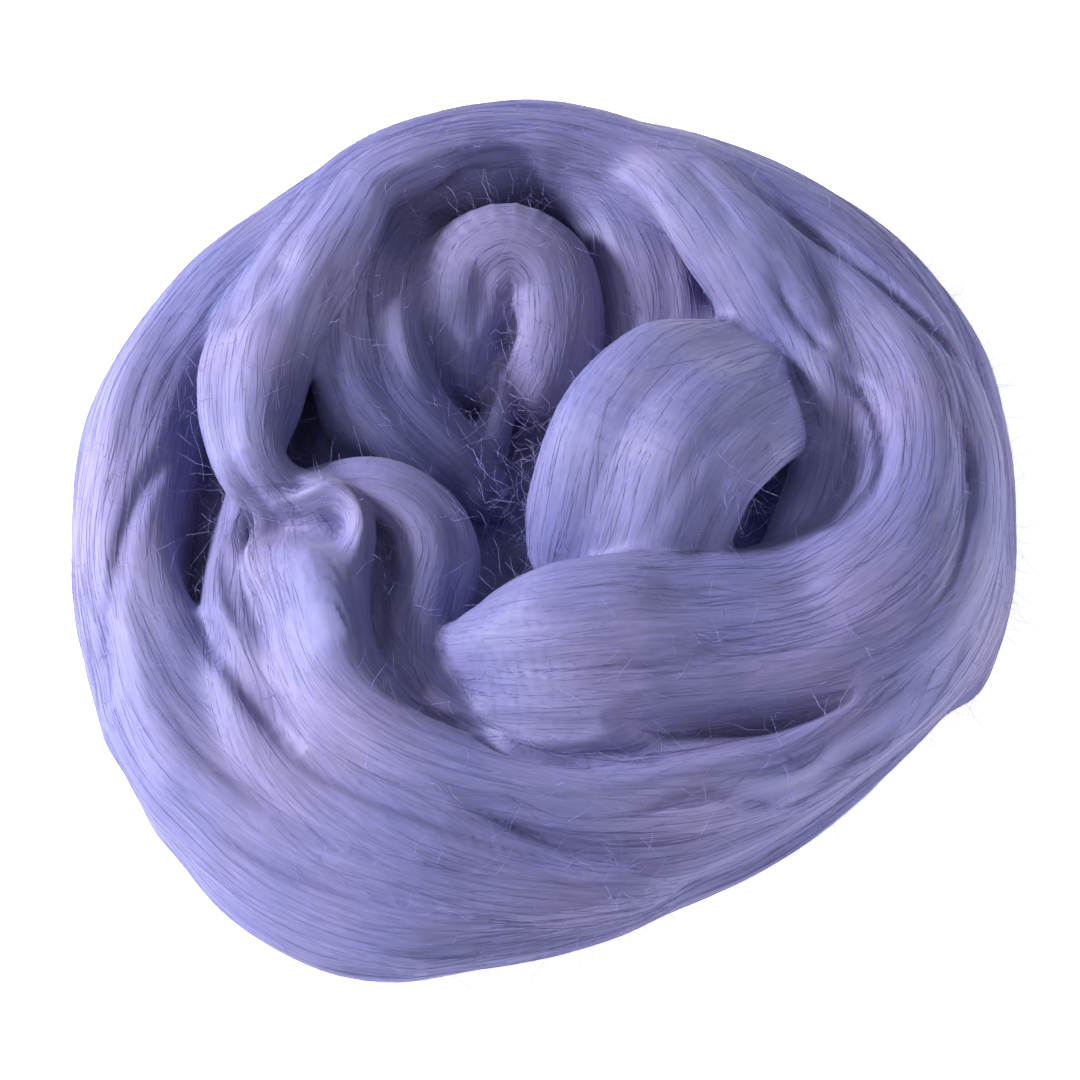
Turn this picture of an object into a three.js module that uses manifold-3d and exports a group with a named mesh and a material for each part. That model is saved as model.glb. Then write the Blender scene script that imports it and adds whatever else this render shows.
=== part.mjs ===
// Viscose roving: one long silky sliver of spun-ready fibre, coiled by hand into a loose nest.
//
// Sizes are millimetres. The surface it lies on is z = 0, +Z is up and the front of the nest faces -Y.
// The nest is about 250 across and 71 high, as 50 g of viscose sliver lies when it is dropped in a coil.
// The sliver is one continuous band about 30 wide. Every table below follows one stretch of it that
// shows, and the stretches run into one another, so the whole nest is one closed body.
import * as THREE from 'three';
import Module from 'manifold-3d';
import { mergeVertices } from 'three/addons/utils/BufferGeometryUtils.js';

// Driving sizes
const BED_REACH_X = 100;     // half width of the packed laps that lie under all the others
const BED_REACH_Y = 96;      // half depth of the same
const BED_HEIGHT = 14;       // their height in the middle
const MIDDLE_X = 1.0;        // middle of the nest's outline, measured in the lap tables
const MIDDLE_Y = 4.5;
const STEP_LENGTH = 12;      // distance between two sections along a lap
const SECTION_SIDES = 10;    // facets round a section
const TIP_SIZE = 0.35;       // size of the first and last section of a lap against the next one
const FLATTEST = -40;        // depth of the block that trims the underside to the surface

// Colour of the fibre: lavender blue, silky
const FIBRE_COLOUR = 0x8584c4;
const FIBRE_ROUGHNESS = 0.45;

// Columns of every lap table. x, y, z is the middle of the section, wide and thick its size,
// and roll how many degrees its right-hand edge is raised, looking along the lap.
const COLUMNS = ['x', 'y', 'z', 'wide', 'thick', 'roll'];

const LAPS = {
  // Outside of the nest, lying on the surface
  base_back: [
    [104, -40, 8, 18, 16, 0],
    [110, -16, 10, 25, 21, 0],
    [112, 14, 12, 28, 25, 0],
    [107, 41, 12, 30, 26, 0],
    [97, 67, 13, 32, 28, 0],
    [75, 87, 13, 32, 28, 0],
    [42, 103, 13, 29, 28, 0],
    [4, 110, 13, 27, 28, 0],
    [-38, 102, 13, 28, 28, 0],
    [-75, 77, 13, 33, 28, 0],
    [-98, 47, 13, 32, 28, 0],
    [-108, 10, 13, 30, 27, 0],
    [-106, -28, 11, 26, 23, 0],
  ],
  base_front: [
    [-104, -14, 10, 16, 18, 0],
    [-102, -34, 11, 22, 21, 0],
    [-93, -54, 11, 28, 23, 0],
    [-81, -75, 11, 32, 24, 0],
    [-64, -91, 11, 35, 24, 0],
    [-41, -101, 11, 36, 24, 0],
    [-17, -98, 11, 35, 23, 0],
    [5, -93, 10, 32, 21, 0],
    [28, -85, 9, 28, 19, 0],
    [51, -75, 8, 25, 17, 0],
    [71, -62, 7, 21, 15, 0],
    [88, -47, 7, 18, 14, 0],
    [103, -33, 7, 12, 12, 0],
  ],
  right_outer: [
    [66, 100, 20, 16, 20, 0],
    [83, 91, 22, 22, 26, 0],
    [97, 76, 22, 27, 31, 0],
    [106, 57, 20, 30, 33, 0],
    [110, 36, 18, 30, 34, 0],
    [113, 15, 17, 28, 33, 0],
    [113, -7, 16, 28, 31, 0],
    [106, -26, 16, 28, 30, 0],
    [93, -41, 16, 28, 29, 0],
    [75, -54, 15, 28, 26, 0],
    [53, -68, 16, 29, 25, 0],
    [28, -82, 19, 26, 25, 0],
    [4, -84, 23, 20, 21, 0],
    [-17, -80, 28, 12, 13, 0],
  ],
  outer_left: [
    [-98, -60, 12, 20, 22, 0],
    [-106, -30, 15, 27, 29, 0],
    [-110, -4, 17, 30, 33, 0],
    [-109, 18, 19, 32, 36, 0],
    [-105, 39, 22, 33, 38, 0],
    [-95, 58, 25, 34, 39, 0],
    [-82, 74, 28, 34, 40, 0],
    [-66, 86, 30, 33, 40, 0],
    [-48, 96, 32, 30, 38, 0],
  ],

  // Back wall
  back_rim: [
    [-74, 78, 26, 26, 32, 0],
    [-60, 91, 31, 30, 39, 0],
    [-44, 103, 34, 28, 42, 0],
    [-24, 112, 35, 27, 42, 0],
    [-4, 115, 35, 27, 42, 0],
    [14, 112, 35, 28, 42, 0],
    [31, 106, 34, 31, 41, 0],
    [47, 101, 33, 34, 38, 0],
    [66, 92, 31, 35, 36, 0],
    [84, 79, 29, 34, 34, 0],
    [97, 63, 27, 30, 32, 0],
    [105, 44, 25, 25, 28, 0],
  ],
  back_inner: [
    [-50, 84, 26, 16, 26, 0],
    [-43, 101, 29, 18, 30, 0],
    [-24, 112, 29, 20, 32, 0],
    [-3, 114, 29, 20, 32, 0],
    [18, 102, 26, 28, 34, 0],
    [30, 82, 23, 36, 30, 0],
    [34, 62, 20, 36, 28, 0],
    [30, 44, 18, 30, 24, 0],
  ],
  fan: [
    [14, 117, 26, 18, 14, 20],
    [24, 114, 36, 22, 15, 25],
    [35, 105, 44, 28, 17, 25],
    [46, 92, 47, 34, 18, 20],
    [57, 76, 46, 38, 20, 15],
    [66, 60, 43, 36, 20, 10],
    [74, 45, 41, 28, 20, 0],
    [78, 29, 40, 24, 20, 0],
    [77, 13, 39, 23, 20, 0],
    [72, -3, 37, 21, 20, 0],
    [64, -17, 31, 16, 15, 0],
  ],

  // Left side
  left_second: [
    [-84, 70, 22, 14, 18, 0],
    [-94, 52, 22, 18, 24, 0],
    [-101, 32, 22, 21, 28, 0],
    [-105, 10, 22, 24, 30, 0],
    [-106, -12, 22, 26, 31, 0],
    [-100, -34, 22, 30, 31, 0],
    [-90, -53, 21, 37, 30, 0],
    [-74, -69, 20, 44, 29, 0],
    [-53, -83, 19, 48, 28, 0],
    [-28, -92, 18, 48, 28, 0],
    [0, -97, 14, 28, 24, 0],
    [26, -92, 10, 18, 18, 0],
  ],
  left_inner: [
    [-79, 44, 14, 12, 14, 0],
    [-79, 24, 20, 13, 18, 10],
    [-78, 3, 27, 17, 20, 20],
    [-76, -21, 30, 24, 19, 26],
    [-71, -44, 30, 31, 22, 24],
    [-59, -64, 28, 40, 25, 12],
    [-38, -80, 27, 44, 27, 0],
    [-13, -91, 22, 34, 23, 0],
    [12, -95, 15, 20, 20, 0],
    [32, -93, 10, 12, 14, 0],
  ],
  ribbon: [
    [24, 108, 42, 16, 14, 0],
    [4, 113, 47, 20, 16, -6],
    [-16, 112, 49, 22, 17, -12],
    [-33, 106, 50, 23, 18, -18],
    [-48, 96, 50, 26, 18, -22],
    [-56, 81, 50, 29, 19, -22],
    [-66, 62, 49, 31, 20, -18],
    [-73, 44, 48, 30, 20, -8],
    [-76, 28, 47, 26, 19, 0],
    [-76, 15, 48, 21, 17, 0],
    [-73, 5, 47, 19, 15, 0],
    [-65, -5, 41, 27, 13, 0],
    [-61, -17, 40, 29, 15, 0],
    [-58, -29, 42, 28, 18, 0],
    [-55, -43, 43, 27, 20, 0],
    [-48, -57, 42, 27, 22, 0],
    [-33, -68, 39, 23, 22, 0],
    [-11, -76, 36, 21, 22, 0],
    [14, -80, 34, 20, 22, 0],
    [39, -78, 33, 20, 22, 0],
    [62, -71, 32, 20, 22, 0],
    [82, -56, 32, 23, 25, 0],
    [97, -37, 32, 25, 26, 0],
    [105, -15, 30, 25, 26, 0],
    [108, 8, 24, 18, 18, 0],
    [108, 26, 20, 12, 12, 0],
  ],
  ribbon_shoulder: [
    [-80, 8, 41, 8, 9, 0],
    [-73, 0, 44, 9, 13, 0],
    [-63, -2, 47, 10, 15, 0],
    [-54, -1, 49, 11, 16, 0],
    [-48, -5, 49, 11, 16, 0],
    [-46, -13, 47, 11, 16, 0],
    [-48, -23, 44, 10, 15, 0],
    [-50, -34, 42, 10, 15, 0],
    [-49, -46, 41, 9, 14, 0],
    [-46, -56, 39, 8, 11, 0],
  ],

  // Right side and the front
  right_second: [
    [38, 104, 30, 18, 18, 0],
    [58, 93, 34, 26, 24, 0],
    [77, 76, 36, 32, 28, 0],
    [92, 55, 36, 34, 30, 0],
    [101, 31, 36, 34, 32, 0],
    [104, 6, 36, 34, 32, 0],
    [99, -17, 36, 34, 32, 0],
    [87, -34, 35, 31, 30, 0],
    [69, -44, 34, 27, 28, 0],
    [47, -50, 35, 25, 26, 0],
    [25, -54, 38, 25, 24, 0],
    [5, -56, 38, 24, 22, 0],
    [-10, -54, 33, 18, 18, 0],
    [-21, -49, 24, 12, 12, 0],
  ],
  right_third: [
    [72, 70, 30, 12, 14, 0],
    [80, 55, 36, 17, 18, 0],
    [87, 39, 39, 20, 20, 0],
    [90, 22, 40, 22, 22, 0],
    [87, 4, 40, 22, 22, 0],
    [80, -12, 39, 22, 20, 0],
    [67, -23, 35, 18, 18, 0],
    [52, -26, 28, 12, 14, 0],
  ],
  front_top: [
    [56, 88, 32, 10, 10, 0],
    [74, 72, 37, 17, 17, 0],
    [88, 54, 41, 22, 22, 0],
    [96, 36, 43, 26, 26, 0],
    [98, 16, 44, 29, 29, 0],
    [95, -4, 44, 32, 30, 0],
    [84, -20, 42, 36, 30, 0],
    [65, -31, 41, 38, 29, 0],
    [43, -35, 44, 39, 29, 0],
    [21, -39, 50, 39, 29, 0],
    [2, -41, 49, 36, 27, 0],
    [-13, -39, 39, 27, 24, 0],
    [-19, -35, 24, 16, 18, 0],
  ],
  front_middle: [
    [104, 8, 38, 14, 16, 0],
    [102, -13, 40, 22, 23, 0],
    [90, -31, 40, 27, 25, 0],
    [71, -42, 40, 28, 25, 0],
    [48, -48, 41, 28, 25, 0],
    [25, -52, 45, 29, 24, 0],
    [5, -54, 44, 27, 22, 0],
    [-10, -52, 38, 22, 19, 0],
    [-18, -46, 26, 12, 14, 0],
  ],
  hook: [
    [-66, -2, 35, 9, 10, 0],
    [-54, 4, 38, 13, 14, 0],
    [-42, 4, 40, 17, 16, 0],
    [-31, -2, 38, 21, 17, 0],
    [-26, -12, 35, 22, 18, 0],
    [-28, -24, 31, 21, 20, 0],
    [-31, -37, 29, 21, 22, 0],
    [-29, -51, 30, 22, 22, 0],
    [-19, -62, 31, 22, 20, 0],
    [-2, -68, 32, 20, 18, 0],
    [18, -70, 32, 18, 17, 0],
    [39, -69, 32, 13, 16, 0],
    [59, -67, 31, 10, 13, 0],
    [77, -60, 28, 8, 9, 0],
  ],
  hollow_left: [
    [-52, 24, 20, 10, 12, 0],
    [-48, 10, 25, 14, 18, 0],
    [-45, -7, 27, 17, 22, 0],
    [-43, -26, 28, 19, 24, 0],
    [-38, -42, 30, 20, 24, 0],
    [-28, -55, 31, 20, 22, 0],
    [-14, -62, 30, 16, 18, 0],
  ],

  // Middle of the nest
  under_left: [
    [-36, 98, 14, 20, 22, 0],
    [-46, 72, 15, 34, 26, 0],
    [-46, 44, 15, 42, 28, 0],
    [-42, 16, 14, 42, 28, 0],
    [-40, -14, 14, 40, 28, 0],
    [-30, -42, 14, 38, 28, 0],
    [-4, -54, 14, 34, 26, 0],
    [28, -52, 14, 30, 24, 0],
  ],
  under_right: [
    [-16, 92, 13, 26, 22, 0],
    [8, 86, 14, 40, 26, 0],
    [36, 70, 16, 48, 28, 0],
    [60, 46, 18, 50, 30, 0],
    [72, 18, 18, 46, 30, 0],
    [66, -10, 18, 40, 30, 0],
    [44, -30, 16, 34, 28, 0],
    [14, -34, 14, 24, 24, 0],
  ],
  inner_left_a: [
    [-40, 98, 32, 12, 18, 0],
    [-47, 83, 38, 14, 20, 0],
    [-52, 66, 41, 16, 22, 0],
    [-53, 48, 41, 18, 22, 0],
    [-49, 33, 36, 20, 22, 0],
    [-38, 22, 29, 20, 20, 0],
    [-24, 14, 20, 18, 18, 0],
  ],
  inner_left_b: [
    [-30, 98, 28, 14, 18, 0],
    [-37, 83, 34, 18, 20, 0],
    [-41, 66, 38, 20, 22, 0],
    [-41, 49, 37, 22, 22, 0],
    [-35, 35, 32, 22, 22, 0],
    [-22, 24, 24, 21, 20, 0],
    [-9, 14, 14, 18, 16, 0],
  ],
  ear: [
    [-20, 47, 9, 14, 14, -10],
    [-23, 51, 22, 22, 20, -15],
    [-22, 62, 31, 27, 24, -20],
    [-19, 74, 37, 29, 25, -20],
    [-9, 80, 39, 28, 25, -20],
    [1, 75, 37, 26, 24, -20],
    [4, 63, 32, 25, 23, -15],
    [2, 52, 24, 24, 21, -10],
    [-3, 44, 13, 20, 18, 0],
  ],
  ear_tongue: [
    [-7, 70, 18, 8, 10, 0],
    [-9, 59, 23, 9, 11, 0],
    [-11, 46, 25, 11, 13, 0],
    [-13, 34, 24, 13, 13, 0],
    [-15, 24, 18, 12, 12, 0],
  ],
  dome: [
    [14, -22, 24, 40, 20, 0],
    [20, -12, 43, 52, 24, 0],
    [28, 6, 56, 57, 28, 2],
    [38, 19, 56, 58, 30, 4],
    [48, 30, 49, 55, 30, 4],
    [56, 38, 37, 46, 28, 0],
    [61, 43, 22, 32, 24, 0],
  ],
};

// One row of a table as a section with named sizes
function section(values) {
  return Object.fromEntries(COLUMNS.map((name, place) => [name, values[place]]));
}

// Smooth value between the second and third of four values
function blend(before, from, to, after, share) {
  const slopeFrom = (to - before) / 2;
  const slopeTo = (after - from) / 2;
  const rise = to - from;
  const bend = 3 * rise - 2 * slopeFrom - slopeTo;
  const twist = slopeFrom + slopeTo - 2 * rise;
  return from + share * (slopeFrom + share * (bend + share * twist));
}

// Section at a place along a lap, counted in rows
function sectionAt(sections, place) {
  const last = sections.length - 1;
  const row = Math.min(Math.floor(place), last - 1);
  const near = [-1, 0, 1, 2].map((offset) => sections[Math.min(Math.max(row + offset, 0), last)]);
  const value = (name) => blend(...near.map((item) => item[name]), place - row);
  return Object.fromEntries(COLUMNS.map((name) => [name, value(name)]));
}

// Middle line of a lap as a point
function middle(item) {
  return new THREE.Vector3(item.x, item.y, item.z);
}

// Sections of a lap at even steps, with a smaller one at each end that rounds it off
function sectionsAlong(sections) {
  const last = sections.length - 1;
  const pieces = sections.slice(1).map((item, index) => middle(item).distanceTo(middle(sections[index])));
  const length = pieces.reduce((sum, piece) => sum + piece, 0);
  const steps = Math.max(3, Math.round(length / STEP_LENGTH));
  return Array.from({ length: steps + 1 }, (_, step) => sectionAt(sections, (step / steps) * last));
}

// Ring of points round one section
function ring(item, along, size) {
  const right = new THREE.Vector3().crossVectors(along, new THREE.Vector3(0, 0, 1)).normalize();
  const lift = new THREE.Vector3().crossVectors(right, along).normalize();
  const roll = THREE.MathUtils.degToRad(item.roll);
  const across = right.clone().multiplyScalar(Math.cos(roll)).addScaledVector(lift, Math.sin(roll));
  const above = lift.clone().multiplyScalar(Math.cos(roll)).addScaledVector(right, -Math.sin(roll));
  return Array.from({ length: SECTION_SIDES }, (_, side) => {
    const turn = (2 * Math.PI * side) / SECTION_SIDES;
    return middle(item)
      .addScaledVector(across, (Math.cos(turn) * item.wide * size) / 2)
      .addScaledVector(above, (Math.sin(turn) * item.thick * size) / 2);
  });
}

// Closed skin over a row of rings
function skin(rings) {
  const sides = rings[0].length;
  const points = rings.flat();
  const faces = [];
  for (let row = 0; row < rings.length - 1; row += 1) {
    for (let side = 0; side < sides; side += 1) {
      const here = row * sides + side;
      const next = row * sides + ((side + 1) % sides);
      faces.push(here, here + sides, next + sides, here, next + sides, next);
    }
  }
  const end = points.length - sides;
  for (let side = 1; side < sides - 1; side += 1) {
    faces.push(0, side, side + 1);
    faces.push(end, end + side + 1, end + side);
  }
  return { points, faces };
}

// One lap of the sliver as a closed skin
function lap(table) {
  const items = sectionsAlong(table.map(section));
  const lines = items.map(middle);
  const rings = items.map((item, index) => {
    const before = lines[Math.max(index - 1, 0)];
    const after = lines[Math.min(index + 1, lines.length - 1)];
    const along = after.clone().sub(before).normalize();
    const isTip = index === 0 || index === items.length - 1;
    return ring(item, along, isTip ? TIP_SIZE : 1);
  });
  return skin(rings);
}

// Packed laps under all the others: a low mound
function bed() {
  const levels = [[-8, 1], [8, 1], [12, 0.85], [BED_HEIGHT, 0.4]];
  const sides = 28;
  const rings = levels.map(([height, reach]) => Array.from({ length: sides }, (_, side) => {
    const turn = (2 * Math.PI * side) / sides;
    const x = Math.cos(turn) * BED_REACH_X * reach;
    const y = Math.sin(turn) * BED_REACH_Y * reach;
    return new THREE.Vector3(x, y, height);
  }));
  return skin(rings);
}

// Block under the surface that the underside is trimmed against
function underSurface() {
  const reach = 200;
  const corners = (height) => [[-1, -1], [1, -1], [1, 1], [-1, 1]]
    .map(([x, y]) => new THREE.Vector3(x * reach, y * reach, height));
  return skin([corners(FLATTEST), corners(0)]);
}

const wasm = await Module();
wasm.setup();

// Body with the given points and corner numbers
function body(points, faces) {
  const vertProperties = new Float32Array(points.flatMap((point) => [point.x, point.y, point.z]));
  const triVerts = new Uint32Array(faces);
  return new wasm.Manifold(new wasm.Mesh({ numProp: 3, vertProperties, triVerts }));
}

// Closed skin as a body that can be joined and cut, turned to face out
function solid({ points, faces }) {
  const first = body(points, faces);
  if (first.volume() > 0) return first;
  const turned = faces.map((_, index) => faces[index - (index % 3) + [0, 2, 1][index % 3]]);
  return body(points, turned);
}

// Body as a geometry without the pockets of air that are closed in between the laps
function outside(whole) {
  const pieces = whole.decompose().sort((a, b) => b.volume() - a.volume());
  const mesh = pieces[0].getMesh();
  const geometry = new THREE.BufferGeometry();
  geometry.setAttribute('position', new THREE.BufferAttribute(new Float32Array(mesh.vertProperties), 3));
  geometry.setIndex(new THREE.BufferAttribute(new Uint32Array(mesh.triVerts), 1));
  geometry.translate(-MIDDLE_X, -MIDDLE_Y, 0);
  return mergeVertices(geometry, 0.001);
}

// The nest: all the laps run together, flat where they lie on the surface
function nest() {
  const laps = Object.values(LAPS).map((table) => solid(lap(table)));
  const joined = laps.reduce((sum, next) => sum.add(next), solid(bed()));
  return outside(joined.subtract(solid(underSurface())).simplify(0.05));
}

const fibre = new THREE.MeshStandardMaterial({
  color: FIBRE_COLOUR,
  roughness: FIBRE_ROUGHNESS,
  metalness: 0,
});
fibre.name = 'viscose_fibre';

const roving = new THREE.Mesh(nest(), fibre);
roving.name = 'roving';

const part = new THREE.Group();
part.name = 'viscose_roving';
part.add(roving);

export default part;
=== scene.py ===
"""Viscose roving: the looks of a coiled nest of combed viscose sliver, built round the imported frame.

Tables and measured sizes are in millimetres, in the coordinates of the part's own source.
Objects are in metres, in the frame's coordinates. The camera stands where the photograph was taken.
"""

import math

import bpy
import numpy as np
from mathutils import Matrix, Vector


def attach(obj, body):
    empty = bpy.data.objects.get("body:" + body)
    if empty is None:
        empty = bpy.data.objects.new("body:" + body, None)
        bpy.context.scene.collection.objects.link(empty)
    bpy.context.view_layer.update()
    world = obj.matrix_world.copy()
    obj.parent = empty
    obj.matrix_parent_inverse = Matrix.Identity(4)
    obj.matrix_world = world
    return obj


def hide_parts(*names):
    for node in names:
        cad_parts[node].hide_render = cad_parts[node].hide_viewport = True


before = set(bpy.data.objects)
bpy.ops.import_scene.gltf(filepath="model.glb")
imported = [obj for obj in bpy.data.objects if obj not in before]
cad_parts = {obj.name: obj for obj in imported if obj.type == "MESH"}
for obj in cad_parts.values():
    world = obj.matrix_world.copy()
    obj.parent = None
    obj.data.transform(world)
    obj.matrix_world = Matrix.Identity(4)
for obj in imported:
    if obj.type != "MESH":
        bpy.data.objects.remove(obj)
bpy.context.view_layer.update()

MM = 0.001
MIDDLE = np.array([1.0, 4.5, 0.0])  # middle of the nest's outline, measured in the lap tables
SEED = 20

# Field that the surface is drawn from: below zero inside the fibre, above zero outside
CELL = 1.1             # spacing of the field's points
FIELD_LOW = np.array([-131.0, -126.0, -2.0])
FIELD_HIGH = np.array([133.0, 134.0, 77.0])
FIELD_SHAPE = tuple(np.ceil((FIELD_HIGH - FIELD_LOW) / CELL).astype(int) + 1)
BAND = 5.0             # the field is worked out this far outside a lap
BLEND = 4.5            # laps that touch run softly into each other over this distance
SLOPE_REACH = 0.9      # the field's slope is measured this far to each side
LEAST_STEEP = 0.15     # squared slopes under this count as this

# Laps, their sections and their rounded ends
ROW_STEPS = 40         # points between two rows of a table, for measuring along it
STATION_STEP = 2.5     # between two sections along a lap
FEWEST_STATIONS = 8
GROUP = 14             # sections worked out together
TIP_LENGTH = 11.0      # length over which a lap rounds off at its ends
UNDERSIDE = math.radians(-90)  # angles round a section start here

# Relief of a lap: soft clumps and creases that run along its fibre
ANGLES = 96            # directions round a section in the table of its relief
CLUMP_DENSITY = 0.04   # for each mm of a lap's length and of its radius
CLUMP_HALF = (1.9, 7.5)
CLUMP_LENGTH = (8, 22)  # in half widths
CLUMP_HEIGHT = 0.33    # of a clump of half width 1
CLUMP_POWER = 0.8      # the height grows with this power of the half width
CLUMP_STRENGTH = (0.3, 1.0)
CLUMP_DRIFT = 0.05     # sideways for each mm along the lap
CLUMP_MARGIN = 0.6     # radians past the upper half of a lap
RAISED_SHARE = 0.45    # of the clumps, the others are creases

# Packed laps under all the others
BED_REACH = 97.0       # half width
BED_HEIGHT = 12.0
BED_PITCH = 22.0       # from one of those laps to the next
BED_RIDGE = 2.2        # from the groove between two of them to their tops
BED_SINK = 1.0         # depth of the groove under the bed's height
BED_CLEARANCE = 6.0    # the field is worked out this far above the bed
BED_RUN = 60.0         # radius at which lengths round the bed are true

# Folds and fills
PATH_STEPS = 14        # points for each one in a fold's table
SNAP_REACH = 10.0      # a fold's line is moved up or down onto the surface over this distance
SNAP_MEAN = 13         # points over which its height is evened out
UPRIGHT_SHARE = 0.35   # how much less a fold's reach counts upright than level
FOLD_REACH = 2.6       # half widths past which a fold isn't felt
FADED_SHARE = 1 / 3    # of a fold's length, at each end
SHORT_FOLD = 5         # a fold under this many half widths is a dent, and doesn't fade at its ends

# Fibres that lie on the laps
FIBRE_AREA = 14.0      # exposed surface for each fibre drawn, in square millimetres
UPPER_GIRTH = 3.8      # length round the exposed part of a lap, in radii
FIBRE_POINTS = 8
FIBRE_LENGTH = (14.0, 40.0)
LONGEST_SHARE = 0.8    # of the lap's length
FIBRE_RADIUS = (0.025, 0.05)
FIBRE_TURN = (50, 310)  # degrees round the lap from its underside
FIBRE_SLANT = 0.07     # radians round the lap, from end to end
CROSSING_SHARE = 0.12  # of the fibres, which slant more
CROSSING_SLANT = 3.0   # times as much
FIBRE_BOW = 0.03       # radians round the lap, at the middle
FIBRE_RISE = 0.3       # how far the middle of a fibre may stand off the surface
FIBRE_LIFT = 0.03
END_SINK = 0.2         # a fibre's ends dip under the surface
END_TAPER = 0.8
LAP_MARGIN = 0.5       # fibres stay this far inside the lap's ends
DEEPEST_SHOWN = 3.5    # points deeper than this under the surface are hidden
SHOWN_SHARE = 0.8      # a fibre is drawn if more than this share of its points isn't hidden
FIBRE_TONE = (0.85, 1.5)
LOWEST_STRAND = 0.02

# Stray hairs, on the laps and over the hollows
STRAY_AREA = 28.0      # exposed surface for each stray hair, in square millimetres
STRAY_POINTS = 5
STRAY_LENGTH = (3.5, 13.0)
STRAY_RADIUS = (0.024, 0.045)
STRAY_TURN = (60, 300)  # degrees round the lap from its underside
STRAY_LEAN = (1, 42)   # degrees off the surface
STRAY_YAW = 0.7        # how far off the lap's own direction, in radians
STRAY_CURL = 0.32
STRAY_AHEAD = 2.0      # distance along the lap that its direction is read over
ROOT_DEPTH = 0.2
STRAY_TAPER = 0.7
# Stray hairs are drawn 1.3 to 2.3 times lighter than the dye: painted lightness for the light that thin
# loose hairs catch
STRAY_PAINTED_LIGHTNESS = (1.3, 2.3)
STRAY_FACING = (0.1, 0.0, 1.0)
LOWEST_STRAY = 0.2
STRAY_BOX = np.array([134.0, 132.0, 77.0])  # half width, half depth and height that they stay inside
BRIDGE_LENGTH = (6.0, 18.0)
BRIDGE_CURL = 0.42
BRIDGE_SLOPE = 0.3
BRIDGE_SCATTER = 3.0   # up and down

# Columns of a lap's table: x, y and z of the middle of the section, its width and thickness and,
# where it is turned, the degrees by which its right-hand edge is raised, looking along the lap
WIDE, THICK, ROLL = 3, 4, 5

# Columns of a section once it is placed: roll gives way to the section's three axes
FORWARDS, ACROSS, ABOVE = slice(5, 8), slice(8, 11), slice(11, 14)

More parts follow.
